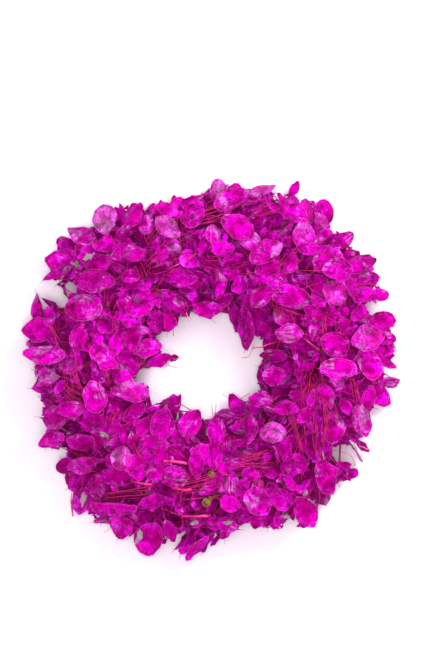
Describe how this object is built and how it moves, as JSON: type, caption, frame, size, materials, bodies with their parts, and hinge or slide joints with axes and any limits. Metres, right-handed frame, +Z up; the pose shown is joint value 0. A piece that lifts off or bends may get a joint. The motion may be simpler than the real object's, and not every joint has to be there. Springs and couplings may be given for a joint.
{
  "type": "lunaria wreath",
  "caption": "Round wreath of dried, dyed honesty seed pods on wiry stems, tied in overlapping sprays round a straw ring.",
  "frame": {"origin": "middle of the straw ring, on the surface that the wreath lies on", "axes": "+Z up out of the front of the wreath, +Y towards its top as it hangs, +X to its right seen from the front"},
  "size_m": [0.3961, 0.3977, 0.0908],
  "materials": {
    "straw": "matte bound straw",
    "florist_wire": "green lacquered wire",
    "dyed_pods": "papery, satin, dyed magenta",
    "dyed_stems": "dry stems, dyed crimson"
  },
  "bodies": {
    "root": {"base_ring": "straw", "binding_wire": "florist_wire", "spray_inner_01": "dyed_pods", "spray_inner_02": "dyed_pods", "spray_inner_03": "dyed_pods", "spray_inner_04": "dyed_pods", "spray_inner_05": "dyed_pods", "spray_inner_06": "dyed_pods", "spray_inner_07": "dyed_pods", "spray_inner_08": "dyed_pods", "spray_inner_09": "dyed_pods", "spray_inner_10": "dyed_pods", "spray_inner_11": "dyed_pods", "spray_inner_12": "dyed_pods", "spray_inner_13": "dyed_pods", "spray_inner_14": "dyed_pods", "spray_inner_15": "dyed_pods", "spray_inner_16": "dyed_pods", "spray_top_01": "dyed_pods", "spray_top_02": "dyed_pods", "spray_top_03": "dyed_pods", "spray_top_04": "dyed_pods", "spray_top_05": "dyed_pods", "spray_top_06": "dyed_pods", "spray_top_07": "dyed_pods", "spray_top_08": "dyed_pods", "spray_top_09": "dyed_pods", "spray_top_10": "dyed_pods", "spray_top_11": "dyed_pods", "spray_top_12": "dyed_pods", "spray_top_13": "dyed_pods", "spray_top_14": "dyed_pods", "spray_top_15": "dyed_pods", "spray_top_16": "dyed_pods", "spray_outer_01": "dyed_pods", "spray_outer_02": "dyed_pods", "spray_outer_03": "dyed_pods", "spray_outer_04": "dyed_pods", "spray_outer_05": "dyed_pods", "spray_outer_06": "dyed_pods", "spray_outer_07": "dyed_pods", "spray_outer_08": "dyed_pods", "spray_outer_09": "dyed_pods", "spray_outer_10": "dyed_pods", "spray_outer_11": "dyed_pods", "spray_outer_12": "dyed_pods", "spray_outer_13": "dyed_pods", "spray_outer_14": "dyed_pods", "spray_outer_15": "dyed_pods", "spray_outer_16": "dyed_pods"}
  },
  "joints": []
}
